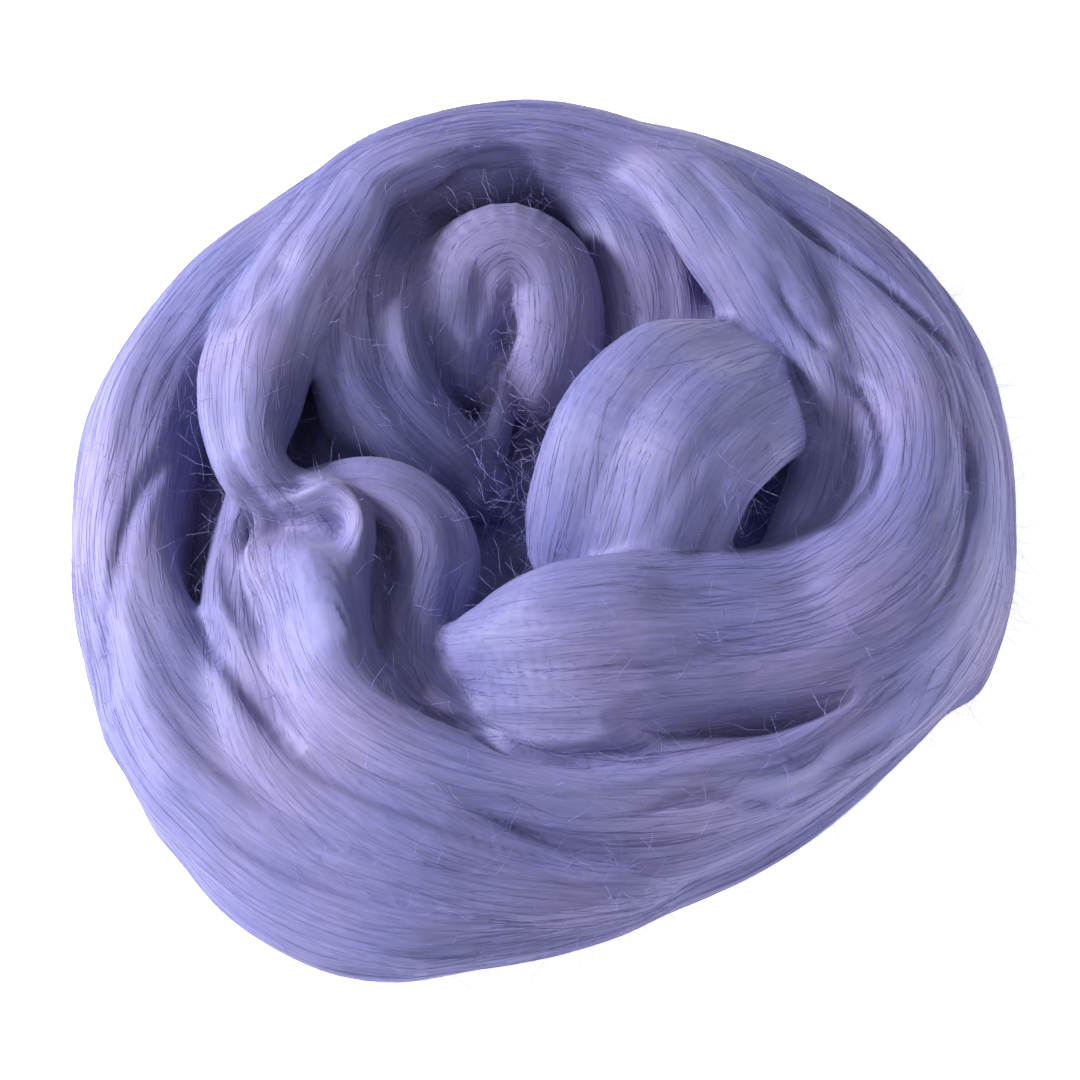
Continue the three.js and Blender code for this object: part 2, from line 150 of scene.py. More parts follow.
LAPS = {
    # Outside of the nest, lying on the surface
    "base_back": [
        (104, -40, 8, 18, 16), (110, -16, 10, 25, 21), (112, 14, 12, 28, 25), (107, 41, 12, 30, 26),
        (97, 67, 13, 32, 28), (75, 87, 13, 32, 28), (42, 103, 13, 29, 28), (4, 110, 13, 27, 28),
        (-38, 102, 13, 28, 28), (-75, 77, 13, 33, 28), (-98, 47, 13, 32, 28), (-108, 10, 13, 30, 27),
        (-106, -28, 11, 26, 23),
    ],
    "base_front": [
        (-104, -14, 10, 16, 18), (-102, -34, 11, 22, 21), (-93, -54, 11, 28, 23), (-81, -75, 11, 32, 24),
        (-64, -91, 11, 35, 24), (-41, -101, 11, 36, 24), (-17, -98, 11, 35, 23), (5, -93, 10, 32, 21),
        (28, -85, 9, 28, 19), (51, -75, 8, 25, 17), (71, -62, 7, 21, 15), (88, -47, 7, 18, 14),
        (103, -33, 7, 12, 12),
    ],
    "right_outer": [
        (66, 100, 20, 16, 20), (83, 91, 22, 22, 26), (97, 76, 22, 27, 31), (106, 57, 20, 30, 33),
        (110, 36, 18, 30, 34), (113, 15, 17, 28, 33), (113, -7, 16, 28, 31), (106, -26, 16, 28, 30),
        (93, -41, 16, 28, 29), (75, -54, 15, 28, 26), (53, -68, 16, 29, 25), (28, -82, 19, 26, 25),
        (4, -84, 23, 20, 21), (-17, -80, 28, 12, 13),
    ],
    "outer_left": [
        (-98, -60, 12, 20, 22), (-106, -30, 15, 27, 29), (-110, -4, 17, 30, 33), (-109, 18, 19, 32, 36),
        (-105, 39, 22, 33, 38), (-95, 58, 25, 34, 39), (-82, 74, 28, 34, 40), (-66, 86, 30, 33, 40),
        (-48, 96, 32, 30, 38),
    ],

    # Back wall
    "back_rim": [
        (-74, 78, 26, 26, 32), (-60, 91, 31, 30, 39), (-44, 103, 34, 28, 42), (-24, 112, 35, 27, 42),
        (-4, 115, 35, 27, 42), (14, 112, 35, 28, 42), (31, 106, 34, 31, 41), (47, 101, 33, 34, 38),
        (66, 92, 31, 35, 36), (84, 79, 29, 34, 34), (97, 63, 27, 30, 32), (105, 44, 25, 25, 28),
    ],
    "back_inner": [
        (-50, 84, 26, 16, 26), (-43, 101, 29, 18, 30), (-24, 112, 29, 20, 32), (-3, 114, 29, 20, 32),
        (18, 102, 26, 28, 34), (30, 82, 23, 36, 30), (34, 62, 20, 36, 28), (30, 44, 18, 30, 24),
    ],
    "fan": [
        (14, 117, 26, 18, 14, 20), (24, 114, 36, 22, 15, 25), (35, 105, 44, 28, 17, 25),
        (46, 92, 47, 34, 18, 20), (57, 76, 46, 38, 20, 15), (66, 60, 43, 36, 20, 10),
        (74, 45, 41, 28, 20), (78, 29, 40, 24, 20), (77, 13, 39, 23, 20), (72, -3, 37, 21, 20),
        (64, -17, 31, 16, 15),
    ],

    # Left side
    "left_second": [
        (-84, 70, 22, 14, 18), (-94, 52, 22, 18, 24), (-101, 32, 22, 21, 28), (-105, 10, 22, 24, 30),
        (-106, -12, 22, 26, 31), (-100, -34, 22, 30, 31), (-90, -53, 21, 37, 30), (-74, -69, 20, 44, 29),
        (-53, -83, 19, 48, 28), (-28, -92, 18, 48, 28), (0, -97, 14, 28, 24), (26, -92, 10, 18, 18),
    ],
    "left_inner": [
        (-79, 44, 14, 12, 14), (-79, 24, 20, 13, 18, 10), (-78, 3, 27, 17, 20, 20),
        (-76, -21, 30, 24, 19, 26), (-71, -44, 30, 31, 22, 24), (-59, -64, 28, 40, 25, 12),
        (-38, -80, 27, 44, 27), (-13, -91, 22, 34, 23), (12, -95, 15, 20, 20), (32, -93, 10, 12, 14),
    ],
    "ribbon": [
        (24, 108, 42, 16, 14), (4, 113, 47, 20, 16, -6), (-16, 112, 49, 22, 17, -12),
        (-33, 106, 50, 23, 18, -18), (-48, 96, 50, 26, 18, -22), (-56, 81, 50, 29, 19, -22),
        (-66, 62, 49, 31, 20, -18), (-73, 44, 48, 30, 20, -8), (-76, 28, 47, 26, 19),
        (-76, 15, 48, 21, 17), (-73, 5, 47, 19, 15), (-65, -5, 41, 27, 13), (-61, -17, 40, 29, 15),
        (-58, -29, 42, 28, 18), (-55, -43, 43, 27, 20), (-48, -57, 42, 27, 22), (-33, -68, 39, 23, 22),
        (-11, -76, 36, 21, 22), (14, -80, 34, 20, 22), (39, -78, 33, 20, 22), (62, -71, 32, 20, 22),
        (82, -56, 32, 23, 25), (97, -37, 32, 25, 26), (105, -15, 30, 25, 26), (108, 8, 24, 18, 18),
        (108, 26, 20, 12, 12),
    ],
    "ribbon_shoulder": [
        (-80, 8, 41, 8, 9), (-73, 0, 44, 9, 13), (-63, -2, 47, 10, 15), (-54, -1, 49, 11, 16),
        (-48, -5, 49, 11, 16), (-46, -13, 47, 11, 16), (-48, -23, 44, 10, 15), (-50, -34, 42, 10, 15),
        (-49, -46, 41, 9, 14), (-46, -56, 39, 8, 11),
    ],

    # Right side and the front
    "right_second": [
        (38, 104, 30, 18, 18), (58, 93, 34, 26, 24), (77, 76, 36, 32, 28), (92, 55, 36, 34, 30),
        (101, 31, 36, 34, 32), (104, 6, 36, 34, 32), (99, -17, 36, 34, 32), (87, -34, 35, 31, 30),
        (69, -44, 34, 27, 28), (47, -50, 35, 25, 26), (25, -54, 38, 25, 24), (5, -56, 38, 24, 22),
        (-10, -54, 33, 18, 18), (-21, -49, 24, 12, 12),
    ],
    "right_third": [
        (72, 70, 30, 12, 14), (80, 55, 36, 17, 18), (87, 39, 39, 20, 20), (90, 22, 40, 22, 22),
        (87, 4, 40, 22, 22), (80, -12, 39, 22, 20), (67, -23, 35, 18, 18), (52, -26, 28, 12, 14),
    ],
    "front_top": [
        (56, 88, 32, 10, 10), (74, 72, 37, 17, 17), (88, 54, 41, 22, 22), (96, 36, 43, 26, 26),
        (98, 16, 44, 29, 29), (95, -4, 44, 32, 30), (84, -20, 42, 36, 30), (65, -31, 41, 38, 29),
        (43, -35, 44, 39, 29), (21, -39, 50, 39, 29), (2, -41, 49, 36, 27), (-13, -39, 39, 27, 24),
        (-19, -35, 24, 16, 18),
    ],
    "front_middle": [
        (104, 8, 38, 14, 16), (102, -13, 40, 22, 23), (90, -31, 40, 27, 25), (71, -42, 40, 28, 25),
        (48, -48, 41, 28, 25), (25, -52, 45, 29, 24), (5, -54, 44, 27, 22), (-10, -52, 38, 22, 19),
        (-18, -46, 26, 12, 14),
    ],
    "hook": [
        (-66, -2, 35, 9, 10), (-54, 4, 38, 13, 14), (-42, 4, 40, 17, 16), (-31, -2, 38, 21, 17),
        (-26, -12, 35, 22, 18), (-28, -24, 31, 21, 20), (-31, -37, 29, 21, 22), (-29, -51, 30, 22, 22),
        (-19, -62, 31, 22, 20), (-2, -68, 32, 20, 18), (18, -70, 32, 18, 17), (39, -69, 32, 13, 16),
        (59, -67, 31, 10, 13), (77, -60, 28, 8, 9),
    ],
    "hollow_left": [
        (-52, 24, 20, 10, 12), (-48, 10, 25, 14, 18), (-45, -7, 27, 17, 22), (-43, -26, 28, 19, 24),
        (-38, -42, 30, 20, 24), (-28, -55, 31, 20, 22), (-14, -62, 30, 16, 18),
    ],

    # Middle of the nest
    "under_left": [
        (-36, 98, 14, 20, 22), (-46, 72, 15, 34, 26), (-46, 44, 15, 42, 28), (-42, 16, 14, 42, 28),
        (-40, -14, 14, 40, 28), (-30, -42, 14, 38, 28), (-4, -54, 14, 34, 26), (28, -52, 14, 30, 24),
    ],
    "under_right": [
        (-16, 92, 13, 26, 22), (8, 86, 14, 40, 26), (36, 70, 16, 48, 28), (60, 46, 18, 50, 30),
        (72, 18, 18, 46, 30), (66, -10, 18, 40, 30), (44, -30, 16, 34, 28), (14, -34, 14, 24, 24),
    ],
    "inner_left_a": [
        (-40, 98, 32, 12, 18), (-47, 83, 38, 14, 20), (-52, 66, 41, 16, 22), (-53, 48, 41, 18, 22),
        (-49, 33, 36, 20, 22), (-38, 22, 29, 20, 20), (-24, 14, 20, 18, 18),
    ],
    "inner_left_b": [
        (-30, 98, 28, 14, 18), (-37, 83, 34, 18, 20), (-41, 66, 38, 20, 22), (-41, 49, 37, 22, 22),
        (-35, 35, 32, 22, 22), (-22, 24, 24, 21, 20), (-9, 14, 14, 18, 16),
    ],
    "ear": [
        (-20, 47, 9, 14, 14, -10), (-23, 51, 22, 22, 20, -15), (-22, 62, 31, 27, 24, -20),
        (-19, 74, 37, 29, 25, -20), (-9, 80, 39, 28, 25, -20), (1, 75, 37, 26, 24, -20),
        (4, 63, 32, 25, 23, -15), (2, 52, 24, 24, 21, -10), (-3, 44, 13, 20, 18),
    ],
    "ear_tongue": [
        (-7, 70, 18, 8, 10), (-9, 59, 23, 9, 11), (-11, 46, 25, 11, 13), (-13, 34, 24, 13, 13),
        (-15, 24, 18, 12, 12),
    ],
    "dome": [
        (14, -22, 24, 40, 20), (20, -12, 43, 52, 24), (28, 6, 56, 57, 28, 2), (38, 19, 56, 58, 30, 4),
        (48, 30, 49, 55, 30, 4), (56, 38, 37, 46, 28), (61, 43, 22, 32, 24),
    ],
}

# Folds of the surface: depth (below zero for a ridge) and half width,
# then points (x, y, z) along it, on or near the surface
CREASES = {
    # Left
    "left_outer": (2.2, 2.4, (
        (-90, 35, 47), (-98, 21, 46), (-105, 4, 44), (-109, -14, 41), (-111, -36, 36), (-110, -52, 30),
    )),
    "left_valley": (5.0, 3.2, (
        (-88, -26, 36), (-82, -38, 37), (-75, -50, 38), (-67, -61, 38), (-58, -71, 38),
    )),
    "left_long": (2.4, 1.8, (
        (-69, -63, 39), (-57, -74, 38), (-42, -82, 36), (-20, -90, 34), (5, -96, 30), (24, -97, 26),
    )),
    "left_low": (2.6, 2.0, (
        (-93, -74, 30), (-80, -86, 32), (-61, -97, 31), (-40, -104, 29), (-18, -108, 27),
        (6, -110, 23),
    )),
    "left_lowest": (1.8, 2.0, ((-80, -102, 22), (-61, -113, 22), (-49, -117, 21), (-28, -119, 20))),
    "left_soft": (1.4, 2.4, (
        (-98, -48, 36), (-86, -66, 37), (-70, -80, 36), (-52, -91, 34), (-30, -98, 32),
    )),
    # Ribbon, its fold and the band beside it
    "ribbon_dent": (1.9, 4.0, ((-80, 52, 56), (-76, 56, 57), (-72, 60, 57), (-69, 64, 57))),
    "ribbon_dent_rim": (-0.7, 2.6, ((-84, 42, 54), (-78, 45, 57), (-70, 49, 58), (-62, 55, 58))),
    "ribbon_soft": (1.0, 3.0, ((-64, 74, 59), (-68, 58, 59), (-69, 44, 58))),
    "ribbon_side": (2.0, 3.0, ((-52, 66, 56), (-57, 52, 56), (-61, 38, 54), (-65, 26, 52))),
    "pocket": (5.0, 7.5, ((-73, -4, 46), (-65, -6, 46), (-56, -8, 46))),
    "beside_ribbon": (1.5, 2.6, (
        (-79, -10, 42), (-75, -24, 43), (-70, -36, 44), (-64, -50, 45), (-56, -62, 45),
    )),
    "band_upper": (1.6, 1.8, ((-82, -6, 40), (-80, -22, 42), (-76, -36, 43))),
    "ribbon_face": (-4.0, 8.0, ((-58, -20, 48), (-54, -32, 50), (-50, -45, 51))),
    "right_of_fold": (3.5, 2.4, (
        (-40, -6, 44), (-39, -18, 43), (-41, -30, 43), (-40, -44, 44), (-37, -54, 44),
    )),
    # Front
    "front_gap": (12.0, 2.4, (
        (14, -67, 44), (30, -65, 43), (44, -63, 43), (58, -61, 43), (71, -58, 43), (82, -54, 43),
    )),
    "front_gap_left": (1.6, 1.8, ((-18, -61, 47), (-8, -64, 46), (6, -67, 45), (20, -67, 44))),
    "front_upper": (3.2, 1.8, (
        (-42, -52, 46), (-37, -58, 46), (-27, -62, 46), (-16, -64, 46), (-8, -72, 45), (6, -75, 44),
        (20, -76, 44), (39, -73, 44), (55, -69, 43),
    )),
    "front_lower": (4.0, 1.9, (
        (-42, -72, 42), (-30, -77, 41), (-15, -82, 39), (0, -85, 37), (12, -86, 36), (25, -85, 35),
        (40, -81, 35), (56, -80, 34), (68, -76, 34), (77, -69, 34), (87, -62, 34), (97, -51, 34),
        (103, -39, 35), (107, -31, 35),
    )),
    "front_lowest": (2.6, 1.8, (
        (-26, -80, 38), (-10, -86, 34), (3, -90, 31), (15, -93, 29), (30, -93, 27), (42, -90, 25),
    )),
    "front_crest": (-1.0, 4.5, ((-28, -50, 44), (-16, -44, 58), (-4, -40, 63), (8, -44, 65))),
    "front_long": (1.8, 1.8, ((-14, -52, 56), (4, -54, 58), (22, -55, 58), (40, -54, 58))),
    "front_hollow": (2.4, 9.0, ((34, -34, 62), (50, -36, 58), (66, -33, 56))),
    "front_right": (2.4, 2.0, ((112, -34, 36), (104, -45, 34), (96, -56, 31), (84, -66, 29))),
    # Right
    "right_rim": (3.4, 2.2, (
        (46, 97, 46), (62, 89, 48), (75, 80, 50), (87, 70, 50), (98, 58, 50), (107, 46, 48),
        (114, 34, 44),
    )),
    "right_inner": (3.6, 2.0, (
        (76, 38, 52), (86, 28, 54), (89, 14, 54), (87, 0, 54), (80, -9, 52), (70, -12, 50),
    )),
    "right_wrinkle_a": (2.4, 2.0, ((60, 66, 54), (66, 54, 54), (72, 46, 53), (77, 40, 52))),
    "right_wrinkle_b": (-1.4, 1.8, ((62, 72, 55), (70, 60, 54), (78, 50, 53))),
    "right_wrinkle_c": (2.0, 1.6, ((66, 40, 52), (68, 26, 50), (70, 12, 49), (68, -2, 47))),
    "right_outer_high": (1.8, 2.0, (
        (102, 32, 50), (109, 12, 50), (109, -9, 50), (103, -29, 50), (91, -43, 48),
    )),
    "fan_soft": (0.9, 3.0, ((38, 104, 54), (46, 88, 56), (56, 70, 55))),
    # Middle, and the wall behind it
    "ear_slit": (8.0, 2.6, ((-7, 64, 46), (-9, 57, 45), (-13, 49, 42), (-16, 42, 38), (-19, 34, 32))),
    "ear_shade": (1.6, 4.0, ((-14, 73, 50), (-16, 63, 47), (-19, 53, 42))),
    "dome_back": (2.6, 11.0, ((52, 34, 64), (47, 46, 62), (38, 56, 58))),
    "back_shade": (3.2, 5.0, ((-36, 101, 45), (-22, 104, 46), (-10, 104, 46), (2, 102, 46))),
    "dome_left": (0.5, 2.6, ((5, -21, 52), (13, -7, 62), (23, 11, 70), (36, 30, 70))),
    "dome_right": (0.5, 2.6, ((25, -21, 52), (32, -11, 64), (44, 6, 70), (54, 25, 66))),
}

# Hollows filled out from inside: amount and half width, then points (x, y, z)
FILLS = {
    "left_edge": (3.0, 8.0, ((-106, -50, 8), (-101, -60, 8), (-95, -71, 8))),
    "under_ribbon": (10.0, 6.0, ((-71, 58, 28), (-73, 44, 30), (-74, 28, 30), (-75, 12, 31))),
    "shoulder": (9.0, 5.0, ((-58, 4, 29), (-56, 1, 29), (-55, -3, 29))),
    "right_pit": (3.0, 5.0, ((54, -14, 32), (61, -9, 32), (66, -3, 33))),
}

# Hollows that hairs hang over: middle (x, y, z), scatter in x and y, and how many hairs
HOLLOWS = [
    ((-46, 66, 46), (7, 12), 60),
    ((-47, 38, 44), (5, 10), 60),
    ((-26, 96, 48), (14, 6), 60),
    ((4, 96, 46), (12, 6), 50),
    ((-6, 24, 38), (7, 12), 90),
    ((-10, -4, 36), (5, 10), 60),
    ((-38, -14, 42), (5, 14), 60),
    ((-82, 8, 34), (4, 16), 50),
    ((66, 2, 44), (6, 10), 50),
    ((44, -63, 38), (20, 2), 40),
    ((-6, 52, 42), (3, 8), 30),
]


def unit(vectors):
    """The same vectors at length one."""
    return vectors / np.maximum(np.linalg.norm(vectors, axis=-1, keepdims=True), 1e-9)


def rows_at(table, places):
    """Rows of a table read at places between them, on a smooth curve through the rows."""
    rows = np.array(table, float)
    last = len(rows) - 1
    row = np.clip(np.floor(places).astype(int), 0, last - 1)
    share = (places - row)[:, None]
    before, start = rows[np.maximum(row - 1, 0)], rows[row]
    end, after = rows[row + 1], rows[np.minimum(row + 2, last)]
    slope_start, slope_end, rise = (end - before) / 2, (after - start) / 2, end - start
    bend = 3 * rise - 2 * slope_start - slope_end
    twist = slope_start + slope_end - 2 * rise
    return start + share * (slope_start + share * (bend + share * twist))


def between(table, places):
    """Rows of an evenly spaced table read at places between them, on straight lines."""
    low = np.clip(np.floor(places).astype(int), 0, len(table) - 2)
    share = np.clip(places - low, 0, 1)[..., None]
    return table[low] * (1 - share) + table[low + 1] * share


def window(along, start, reach, fade):
    """1 between start and start + reach, falling smoothly to 0 outside."""
    rise = np.clip((along - start) / fade + 0.5, 0, 1)
    fall = np.clip((start + reach - along) / fade + 0.5, 0, 1)
    return rise * rise * (3 - 2 * rise) * fall * fall * (3 - 2 * fall)


def relief(rng, along, rows):
    """How far the surface stands off the plain section: soft clumps and creases along the fibre."""
    turn = UNDERSIDE + np.arange(ANGLES + 1)[None, :] * 2 * math.pi / ANGLES
    along, length = along[:, None], along[-1]
    radius = (rows[:, WIDE].mean() + rows[:, THICK].mean()) / 4
    height = np.zeros((len(along), ANGLES + 1))
    for _ in range(int(CLUMP_DENSITY * length * radius)):
        half = math.exp(rng.uniform(*np.log(CLUMP_HALF)))
        reach = half * rng.uniform(*CLUMP_LENGTH)
        start = rng.uniform(-reach, length)
        drift = rng.normal(0, CLUMP_DRIFT) * (along - start - reach / 2)
        middle = rng.uniform(-CLUMP_MARGIN, math.pi + CLUMP_MARGIN)
        away = ((turn - middle) * radius - drift) / half
        shown = window(along, start, reach, reach / 2)
        side = 1 if rng.random() < RAISED_SHARE else -1
        most = side * CLUMP_HEIGHT * half**CLUMP_POWER * rng.uniform(*CLUMP_STRENGTH)
        height += most * shown * np.exp(-away * away)
    return height


def lap_line(table, rng):
    """Sections at even distances along a lap: rows, axes and relief, in one table each."""
    table = [(*row, 0)[:ROLL + 1] for row in table]
    fine = np.linspace(0, len(table) - 1, ROW_STEPS * len(table))
    path = rows_at(table, fine)[:, :3]
    travelled = np.concatenate([[0], np.cumsum(np.linalg.norm(np.diff(path, axis=0), axis=1))])
    count = max(FEWEST_STATIONS, int(travelled[-1] / STATION_STEP))
    along = np.linspace(0, travelled[-1], count)
    rows = rows_at(table, np.interp(along, travelled, fine))
    tangent = unit(np.gradient(rows[:, :3], axis=0))
    right = unit(np.cross(tangent, (0, 0, 1)))
    lift = unit(np.cross(right, tangent))
    roll = np.radians(rows[:, ROLL])[:, None]
    across = right * np.cos(roll) + lift * np.sin(roll)
    above = lift * np.cos(roll) - right * np.sin(roll)
    return {
        "rows": np.hstack([rows[:, :ROLL], tangent, across, above]),
        "step": along[1],
        "length": along[-1],
        "radius": (rows[:, WIDE].mean() + rows[:, THICK].mean()) / 4,
        "relief": relief(rng, along, rows),
    }


def lap_coordinates(line, points, first=0, last=None):
    """Where points lie in a lap: nearest section, distance along, angle round it and distance off it."""
    rows = line["rows"]
    middles = rows[first:last, :3]
    gaps = (middles**2).sum(1)[None] - 2 * points @ middles.T
    nearest = np.argmin(gaps, axis=1) + first
    away = points - rows[nearest, :3]
    forwards = (away * rows[nearest, FORWARDS]).sum(-1)
    place = nearest + np.clip(forwards / line["step"], -1, 1)
    beyond = np.where((nearest == 0) | (nearest == len(rows) - 1), forwards / line["step"], 0)
    row = between(rows, np.clip(place, 0, len(rows) - 1))
    away = points - row[:, :3]
    half_wide, half_thick = row[:, WIDE] / 2, row[:, THICK] / 2
    sideways = (away * row[:, ACROSS]).sum(-1) / half_wide
    upwards = (away * row[:, ABOVE]).sum(-1) / half_thick
    along = (nearest + np.where(beyond != 0, beyond, place - nearest)) * line["step"]
    turn = (np.arctan2(upwards, sideways) - UNDERSIDE) % (2 * math.pi)
    from_end = np.minimum(along, line["length"] - along)
    ending = np.clip(1 - from_end / TIP_LENGTH, 0, None)
    size = np.sqrt(sideways**2 + upwards**2 + ending**2)
    slope = np.sqrt((sideways / half_wide) ** 2 + (upwards / half_thick) ** 2 + (ending / TIP_LENGTH) ** 2)
    off = size * (size - 1) / np.maximum(slope, 1e-6) - relief_at(line, along, turn)
    return nearest, along, turn, off


def relief_at(line, along, turn):
    """Relief of a lap at distances along it and angles round it."""
    table = line["relief"]
    row = np.clip(along / line["step"], 0, len(table) - 1.001)
    column = np.clip(turn * ANGLES / (2 * math.pi), 0, ANGLES - 0.001)
    low, left = row.astype(int), column.astype(int)
    down, aside = row - low, column - left
    near = table[low, left] * (1 - aside) + table[low, left + 1] * aside
    far = table[low + 1, left] * (1 - aside) + table[low + 1, left + 1] * aside
    return near * (1 - down) + far * down


def box_points(low, high):
    """Field points inside a box: flat numbers of them and their places."""
    start = np.maximum(np.ceil((low - FIELD_LOW) / CELL), 0).astype(int)
    stop = np.minimum(np.floor((high - FIELD_LOW) / CELL) + 1, FIELD_SHAPE).astype(int)
    steps = np.meshgrid(*[np.arange(a, b) for a, b in zip(start, stop)], indexing="ij")
    steps = np.stack([axis.ravel() for axis in steps], axis=-1)
    return np.ravel_multi_index(steps.T, FIELD_SHAPE), FIELD_LOW + CELL * steps


def add_lap(field, number, line):
    """Joins one lap to the field, a stretch at a time."""
    rows = line["rows"]
    for first in range(0, len(rows), GROUP):
        last = min(first + GROUP, len(rows))
        stretch = rows[first:last]
        radius = stretch[:, WIDE:THICK + 1].max() / 2 + BAND
        spots, points = box_points(stretch[:, :3].min(0) - radius, stretch[:, :3].max(0) + radius)
        nearest, _, _, off = lap_coordinates(line, points, max(first - 2, 0), min(last + 2, len(rows)))
        kept = (nearest >= first) & (nearest < last) & (off < BAND)
        blend_in(field, number, spots[kept], off[kept])


def blend_in(field, number, spots, off):
    """Smooth union of what the field holds with a new body's distances."""
    held = field["value"][spots]
    near = np.maximum(BLEND - np.abs(held - off), 0) / BLEND
    field["value"][spots] = np.minimum(held, off) - near * near * BLEND / 4
    closer = off < field["best"][spots]
    field["best"][spots[closer]] = off[closer]
    field["lap"][spots[closer]] = number


def add_bed(field, number):
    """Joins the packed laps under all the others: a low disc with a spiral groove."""
    reach = BED_REACH + BAND
    low = np.array([-reach, -reach, FIELD_LOW[2]])
    spots, points = box_points(low, np.array([reach, reach, BED_HEIGHT + BED_CLEARANCE]))
    away = np.hypot(points[:, 0], points[:, 1])
    angle = np.arctan2(points[:, 1], points[:, 0])
    top = BED_HEIGHT + BED_RIDGE * np.abs(np.sin(math.pi * away / BED_PITCH + angle / 2)) - BED_SINK
    blend_in(field, number, spots, np.maximum(points[:, 2] - top, away - BED_REACH))


def smooth_line(line):
    """Closely spaced points on a smooth curve through a few."""
    return rows_at(line, np.linspace(0, len(line) - 1, PATH_STEPS * len(line)))


def snapped(values, path):
    """A path moved straight up or down onto the surface, wherever that is near."""
    spots = np.round((path - FIELD_LOW) / CELL).astype(int)
    inside = values[spots[:, 0], spots[:, 1]] < 0
    heights = FIELD_LOW[2] + CELL * (np.arange(FIELD_SHAPE[2] - 1) + 0.5)
    away = np.where(inside[:, :-1] & ~inside[:, 1:], np.abs(heights - path[:, 2:]), np.inf)
    level = np.where(away.min(axis=1) < SNAP_REACH, heights[away.argmin(axis=1)], path[:, 2])
    padded = np.pad(level, SNAP_MEAN // 2, mode="edge")
    level = np.convolve(padded, np.ones(SNAP_MEAN) / SNAP_MEAN, mode="valid")
    return np.column_stack([path[:, :2], level])


def press_along(values, path, deep, half):
    """Adds to the field along a path: most on the path itself, and nothing far from it."""
    reach = np.array([FOLD_REACH, FOLD_REACH, FOLD_REACH / UPRIGHT_SHARE]) * half
    low, high = path.min(axis=0) - reach, path.max(axis=0) + reach
    axes = [FIELD_LOW[i] + CELL * np.arange(FIELD_SHAPE[i]) for i in range(3)]
    near = [(axis > low[i]) & (axis < high[i]) for i, axis in enumerate(axes)]
    x, y, z = (axis[shown] for axis, shown in zip(axes, near))
    flat = np.hypot(x[:, None, None] - path[:, 0], y[None, :, None] - path[:, 1])
    nearest = np.argmin(flat, axis=2)
    aside = np.take_along_axis(flat, nearest[..., None], axis=2)
    upright = UPRIGHT_SHARE * (z[None, None, :] - path[nearest, 2][..., None])
    share = nearest / (len(path) - 1)
    from_end = np.clip(np.minimum(share, 1 - share) / FADED_SHARE, 0, 1)
    ending = np.sin(from_end * math.pi / 2) ** 2
    length = np.linalg.norm(np.diff(path, axis=0), axis=1).sum()
    fade = np.where(length > SHORT_FOLD * half, ending, 1)[..., None]
    amount = deep * fade * np.exp(-(aside**2 + upright**2) / half**2)
    values[np.ix_(*near)] += amount.astype(np.float32)


def press(values):
    """Fills the hollows, then presses the folds and dents into the surface and raises its ridges."""
    for amount, half, line in FILLS.values():
        press_along(values, smooth_line(line), -amount, half)
    for deep, half, line in CREASES.values():
        press_along(values, snapped(values, smooth_line(line)), deep, half)


def nest_field(lines):
    """The whole nest as a field: its values and the lap that lies nearest to each point."""
    size = int(np.prod(FIELD_SHAPE))
    field = {
        "value": np.full(size, BAND, np.float32),
        "best": np.full(size, BAND, np.float32),
        "lap": np.zeros(size, np.int16),
    }
    for number, line in enumerate(lines):
        add_lap(field, number, line)
    add_bed(field, len(lines))
    values = field["value"].reshape(FIELD_SHAPE)
    press(values)
    floor_off = -(FIELD_LOW[2] + CELL * np.arange(FIELD_SHAPE[2]))
    np.maximum(values, floor_off.astype(np.float32), out=values)
    return {"value": values, "lap": field["lap"].reshape(FIELD_SHAPE)}


def value_at(values, points):
    """Field value at points between the field's own."""
    place = np.clip((points - FIELD_LOW) / CELL, 0, np.array(FIELD_SHAPE) - 1.001)
    low = place.astype(int)
    share = place - low
    total = np.zeros(points.shape[:-1])
    for corner in np.ndindex(2, 2, 2):
        weight = np.prod(np.where(corner, share, 1 - share), axis=-1)
        total += weight * values[tuple(np.moveaxis(low + corner, -1, 0))]
    return total


def slope_at(values, points):
    """Direction and steepness in which the field grows at points."""
    slopes = []
    for step in np.eye(3) * SLOPE_REACH:
        rise = value_at(values, points + step) - value_at(values, points - step)
        slopes.append(rise / (2 * SLOPE_REACH))
    return np.stack(slopes, axis=-1)


def settled(values, points, rounds=2):
    """Points moved onto the surface, with its normals there."""
    for _ in range(rounds):
        slope = slope_at(values, points)
        steep = np.maximum((slope**2).sum(-1), LEAST_STEEP)
        points = points - (value_at(values, points) / steep)[..., None] * slope
    return points, unit(slope_at(values, points))


def surface_net(values):
    """Points of the surface, one in each cell that it crosses, and the quads between them."""
    inside = values < 0
    cells = tuple(np.array(values.shape) - 1)
    count = np.zeros(cells, np.int8)
    for x, y, z in np.ndindex(2, 2, 2):
        count += inside[x:x + cells[0], y:y + cells[1], z:z + cells[2]]
    crossed = (count > 0) & (count < 8)
    place = np.argwhere(crossed)
    numbers = np.full(cells, -1, np.int32)
    numbers[crossed] = np.arange(len(place))
    points = FIELD_LOW + CELL * (place + mean_crossing(values, place))
    return points, np.concatenate([edge_quads(inside, numbers, axis) for axis in range(3)])


def mean_crossing(values, place):
    """Mean of the places where the surface meets the edges of each cell, in shares of a cell."""
    total, hits = np.zeros((len(place), 3)), np.zeros(len(place))
    for axis in range(3):
        for start in np.ndindex(2, 2, 2):
            if start[axis]:
                continue
            end = np.array(start)
            end[axis] = 1
            low, high = (values[tuple((place + corner).T)] for corner in (start, end))
            met = (low < 0) != (high < 0)
            share = np.where(met, low / np.where(met, low - high, 1), 0)
            total += met[:, None] * (np.array(start) + share[:, None] * (end - start))
            hits += met
    return total / hits[:, None]


